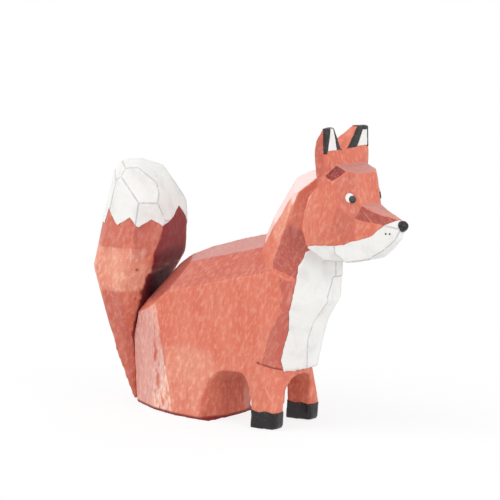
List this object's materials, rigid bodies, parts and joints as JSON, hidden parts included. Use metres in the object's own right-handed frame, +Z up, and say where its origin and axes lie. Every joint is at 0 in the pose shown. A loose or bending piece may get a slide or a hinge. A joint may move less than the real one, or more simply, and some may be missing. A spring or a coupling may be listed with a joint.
{
  "type": "animal figurine",
  "caption": "Hand-whittled wooden fox, sitting, stained red, with white bib and tail tip, black nose, ears and forefeet.",
  "frame": {"origin": "on the ground, under the middle of the fox's overall length and width", "axes": "+X the way the fox looks, +Y its left side, +Z up"},
  "size_m": [0.0893, 0.02, 0.0702],
  "materials": {
    "stained_wood": "matt stain with a soft sheen",
    "bare_wood": "bare",
    "white_paint": "matt",
    "black_paint": "satin"
  },
  "bodies": {
    "root": {"body": "stained_wood", "tail": "stained_wood", "tail_dowel": "bare_wood", "tail_tip_paint": "white_paint", "bib_paint": "white_paint", "nose_paint": "black_paint", "right_forefoot_paint": "black_paint", "left_forefoot_paint": "black_paint", "right_ear_lining": "white_paint", "left_ear_lining": "white_paint", "right_ear_edging": "black_paint", "left_ear_edging": "black_paint", "right_eye_white": "white_paint", "left_eye_white": "white_paint", "right_pupil": "black_paint", "left_pupil": "black_paint", "whisker_dots": "black_paint"}
  },
  "joints": []
}
